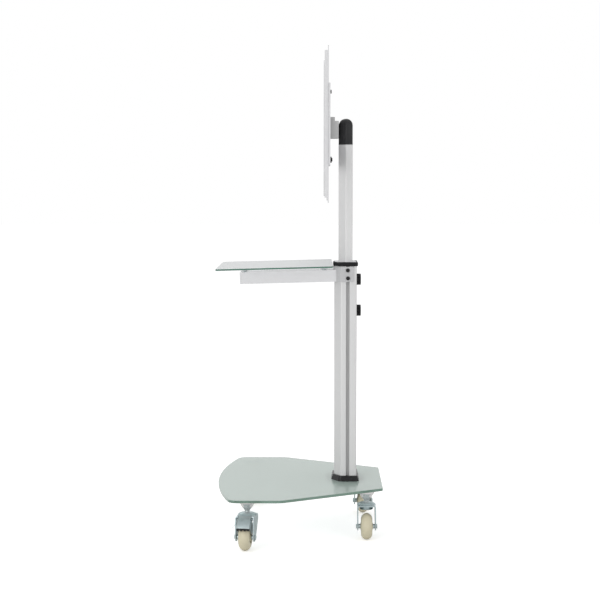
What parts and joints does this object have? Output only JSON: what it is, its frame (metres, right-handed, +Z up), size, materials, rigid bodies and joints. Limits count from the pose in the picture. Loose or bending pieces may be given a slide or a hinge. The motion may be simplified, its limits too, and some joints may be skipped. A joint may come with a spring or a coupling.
{
  "type": "tv cart",
  "caption": "Rolling screen stand: glass base on swivel casters, aluminium column with telescoping tube, clamped glass shelf, and a wall plate with two upright slotted arms.",
  "frame": {"origin": "on the floor, below the middle of the base glass's depth and width", "axes": "+Z up, -Y to the front where the screen faces, +X to the right of the column seen from the front"},
  "size_m": [0.7424, 0.477, 1.3929],
  "materials": {
    "tinted_glass": "clear tempered safety glass, ground edge",
    "clear_glass": "clear tempered safety glass, ground edge",
    "anodised_aluminium": "clear satin anodised extrusion",
    "painted_steel": "light silver powder coat",
    "grey_paint": "grey powder coat",
    "black_plastic": "moulded, satin black",
    "grey_plastic": "moulded, light grey",
    "clear_plastic": "clear soft bumper",
    "rubber": "matte black",
    "zinc_plate": "zinc plated, pressed",
    "nylon": "moulded, cream",
    "black_steel": "black oxide"
  },
  "bodies": {
    "stand": {"base_glass": "tinted_glass", "base_gasket": "rubber", "foot_plate": "zinc_plate", "foot_bolt_front_left": "zinc_plate", "foot_bolt_front_right": "zinc_plate", "foot_bolt_rear_left": "zinc_plate", "foot_bolt_rear_right": "zinc_plate", "bottom_collar": "black_plastic", "column_extrusion": "anodised_aluminium", "top_collar": "black_plastic", "guide_bush": "grey_plastic", "caster_mount_front_left": "zinc_plate", "caster_mount_front_right": "zinc_plate", "caster_mount_rear_left": "zinc_plate", "caster_mount_rear_right": "zinc_plate"},
    "upper_knob": {"clamp_knob_upper": "black_plastic"},
    "lower_knob": {"clamp_knob_lower": "black_plastic"},
    "mast": {"inner_tube": "anodised_aluminium", "tube_shoe": "black_plastic", "tube_cap": "black_plastic", "head_bracket": "grey_paint", "head_bolt_lower": "black_steel", "head_bolt_upper": "black_steel", "wall_plate": "painted_steel", "plate_bolt_left": "black_steel", "plate_bolt_right": "black_steel"},
    "shelf": {"shelf_bracket": "painted_steel", "clamp_nut_left": "zinc_plate", "clamp_nut_right": "zinc_plate", "clamp_screw_left_lower": "black_steel", "clamp_screw_left_upper": "black_steel", "clamp_screw_right_lower": "black_steel", "clamp_screw_right_upper": "black_steel", "shelf_pad_front_left": "clear_plastic", "shelf_pad_front_right": "clear_plastic", "shelf_pad_rear_left": "clear_plastic", "shelf_pad_rear_right": "clear_plastic", "shelf_glass": "clear_glass"},
    "left_screen_arm": {"screen_arm_left": "painted_steel", "arm_bolt_left_upper": "black_steel", "arm_bolt_left_lower": "black_steel"},
    "right_screen_arm": {"screen_arm_right": "painted_steel", "arm_bolt_right_upper": "black_steel", "arm_bolt_right_lower": "black_steel"},
    "front_left_caster": {"caster_fork_front_left": "zinc_plate", "caster_axle_front_left": "zinc_plate"},
    "front_left_wheel": {"caster_wheel_front_left": "nylon"},
    "front_right_caster": {"caster_fork_front_right": "zinc_plate", "caster_axle_front_right": "zinc_plate"},
    "front_right_wheel": {"caster_wheel_front_right": "nylon"},
    "rear_left_caster": {"caster_fork_rear_left": "zinc_plate", "caster_axle_rear_left": "zinc_plate"},
    "rear_left_wheel": {"caster_wheel_rear_left": "nylon"},
    "rear_right_caster": {"caster_fork_rear_right": "zinc_plate", "caster_axle_rear_right": "zinc_plate"},
    "rear_right_wheel": {"caster_wheel_rear_right": "nylon"},
    "front_left_brake": {"brake_pedal_front_left": "zinc_plate", "brake_bar_front_left": "rubber"},
    "front_right_brake": {"brake_pedal_front_right": "zinc_plate", "brake_bar_front_right": "rubber"}
  },
  "joints": [
    {"name": "upper_knob_turn", "type": "hinge", "parent": "stand", "child": "upper_knob", "pos_m": [0, 0.165, 0.73], "axis": [0, 1, 0], "range_deg": [0, 360]},
    {"name": "lower_knob_turn", "type": "hinge", "parent": "stand", "child": "lower_knob", "pos_m": [0, 0.165, 0.639], "axis": [0, 1, 0], "range_deg": [0, 360]},
    {"name": "mast_height", "type": "slide", "parent": "stand", "child": "mast", "axis": [0, 0, 1], "range_m": [-0.17, 0.13]},
    {"name": "shelf_height", "type": "slide", "parent": "stand", "child": "shelf", "axis": [0, 0, 1], "range_m": [-0.45, 0]},
    {"name": "left_arm_spread", "type": "slide", "parent": "mast", "child": "left_screen_arm", "axis": [1, 0, 0], "range_m": [0, 0.1]},
    {"name": "right_arm_spread", "type": "slide", "parent": "mast", "child": "right_screen_arm", "axis": [-1, 0, 0], "range_m": [0, 0.1]},
    {"name": "front_right_swivel", "type": "hinge", "parent": "stand", "child": "front_right_caster", "pos_m": [0.303, -0.1435, 0.09], "axis": [0, 0, 1], "continuous": true},
    {"name": "front_right_roll", "type": "hinge", "parent": "front_right_caster", "child": "front_right_wheel", "pos_m": [0.33066, -0.14788, 0.0375], "axis": [0.1564, 0.9877, 0], "continuous": true},
    {"name": "front_right_brake_press", "type": "hinge", "parent": "front_right_caster", "child": "front_right_brake", "pos_m": [0.33559, -0.14866, 0.088], "axis": [0.1564, 0.9877, 0], "range_deg": [0, 4.5]},
    {"name": "front_left_swivel", "type": "hinge", "parent": "stand", "child": "front_left_caster", "pos_m": [-0.303, -0.1435, 0.09], "axis": [0, 0, 1], "continuous": true},
    {"name": "front_left_roll", "type": "hinge", "parent": "front_left_caster", "child": "front_left_wheel", "pos_m": [-0.33066, -0.14788, 0.0375], "axis": [0.1564, -0.9877, 0], "continuous": true},
    {"name": "front_left_brake_press", "type": "hinge", "parent": "front_left_caster", "child": "front_left_brake", "pos_m": [-0.33559, -0.14866, 0.088], "axis": [0.1564, -0.9877, 0], "range_deg": [0, 4.5]},
    {"name": "rear_right_swivel", "type": "hinge", "parent": "stand", "child": "rear_right_caster", "pos_m": [0.15964, 0.1915, 0.09], "axis": [0, 0, 1], "continuous": true},
    {"name": "rear_right_roll", "type": "hinge", "parent": "rear_right_caster", "child": "rear_right_wheel", "pos_m": [0.18764, 0.1915, 0.0375], "axis": [0, 1, 0], "continuous": true},
    {"name": "rear_left_swivel", "type": "hinge", "parent": "stand", "child": "rear_left_caster", "pos_m": [-0.15964, 0.1915, 0.09], "axis": [0, 0, 1], "continuous": true},
    {"name": "rear_left_roll", "type": "hinge", "parent": "rear_left_caster", "child": "rear_left_wheel", "pos_m": [-0.18764, 0.1915, 0.0375], "axis": [0, -1, 0], "continuous": true}
  ]
}
